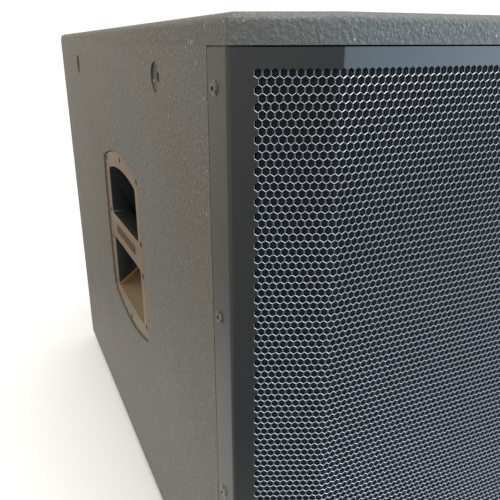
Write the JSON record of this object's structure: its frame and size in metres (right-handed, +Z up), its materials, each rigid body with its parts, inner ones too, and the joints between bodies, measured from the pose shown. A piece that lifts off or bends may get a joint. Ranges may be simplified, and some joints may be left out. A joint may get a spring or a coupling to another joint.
{
  "type": "subwoofer cabinet",
  "caption": "Black plywood subwoofer cabinet with a folded perforated steel grille, recessed pocket handles, rigging points and a front-loaded driver.",
  "frame": {"origin": "on the floor under the middle of the cabinet, level with the undersides of the feet", "axes": "+Z up, -Y out of the grille, +X to the right seen from the front"},
  "size_m": [0.6132, 0.758, 0.566],
  "materials": {
    "textured_black_paint": "thick orange-peel black paint on plywood",
    "matt_black_paint": "matt black paint on plywood",
    "bare_birch_ply": "bare birch plywood",
    "grille_powder_coat": "satin dark powder coat",
    "black_foam": "open-cell foam",
    "zinc_steel": "zinc plated",
    "black_steel": "blackened",
    "plated_steel": "plated, satin",
    "handle_plastic": "satin moulded plastic",
    "black_rubber": "matt",
    "cast_frame_paint": "cast and painted black",
    "cone_paper": "pressed paper, coated",
    "dust_cap_paper": "pressed paper",
    "surround_cloth": "doped cloth",
    "spider_cloth": "resin-stiffened woven cloth",
    "coil_copper": "enamelled copper wire",
    "magnet_ferrite": "dull sintered ferrite",
    "input_dish_paint": "satin black",
    "socket_plastic": "moulded nylon",
    "lead_jacket": "flexible black jacket",
    "damping_wadding": "white polyester wadding"
  },
  "bodies": {
    "cabinet": {"back_panel": "textured_black_paint", "baffle_board": "matt_black_paint", "bottom_panel": "textured_black_paint", "damping_pad": "damping_wadding", "grille": "grille_powder_coat", "grille_foam": "black_foam", "inner_lead": "lead_jacket", "input_dish": "input_dish_paint", "input_dish_screw_1": "black_steel", "input_dish_screw_2": "black_steel", "input_dish_screw_3": "black_steel", "input_dish_screw_4": "black_steel", "left_front_foot": "black_rubber", "left_front_rigging_insert": "zinc_steel", "left_grille_screw_1": "zinc_steel", "left_grille_screw_2": "zinc_steel", "left_grille_screw_3": "zinc_steel", "left_grille_screw_4": "zinc_steel", "left_handle": "handle_plastic", "left_port_wall": "matt_black_paint", "left_rear_foot": "black_rubber", "left_rear_rigging_insert": "zinc_steel", "left_side_panel": "textured_black_paint", "magnet": "magnet_ferrite", "motor_back_plate": "plated_steel", "motor_front_plate": "plated_steel", "pole_socket": "zinc_steel", "right_front_foot": "black_rubber", "right_front_rigging_insert": "zinc_steel", "right_grille_screw_1": "zinc_steel", "right_grille_screw_2": "zinc_steel", "right_grille_screw_3": "zinc_steel", "right_grille_screw_4": "zinc_steel", "right_handle": "handle_plastic", "right_port_wall": "matt_black_paint", "right_rear_foot": "black_rubber", "right_rear_rigging_insert": "zinc_steel", "right_side_panel": "textured_black_paint", "speaker_socket_1": "socket_plastic", "speaker_socket_2": "socket_plastic", "spider": "spider_cloth", "surround": "surround_cloth", "top_panel": "textured_black_paint", "window_brace": "bare_birch_ply", "woofer_basket": "cast_frame_paint", "woofer_gasket": "black_rubber", "woofer_screw_1": "black_steel", "woofer_screw_2": "black_steel", "woofer_screw_3": "black_steel", "woofer_screw_4": "black_steel", "woofer_screw_5": "black_steel", "woofer_screw_6": "black_steel", "woofer_screw_7": "black_steel", "woofer_screw_8": "black_steel", "woofer_terminals": "cast_frame_paint"},
    "moving_cone": {"cone": "cone_paper", "dust_cap": "dust_cap_paper", "voice_coil": "coil_copper"}
  },
  "joints": [
    {"name": "cone_travel", "type": "slide", "parent": "cabinet", "child": "moving_cone", "axis": [0, -1, 0], "range_m": [-0.01, 0.01], "stiffness_N_per_m": 6000}
  ]
}
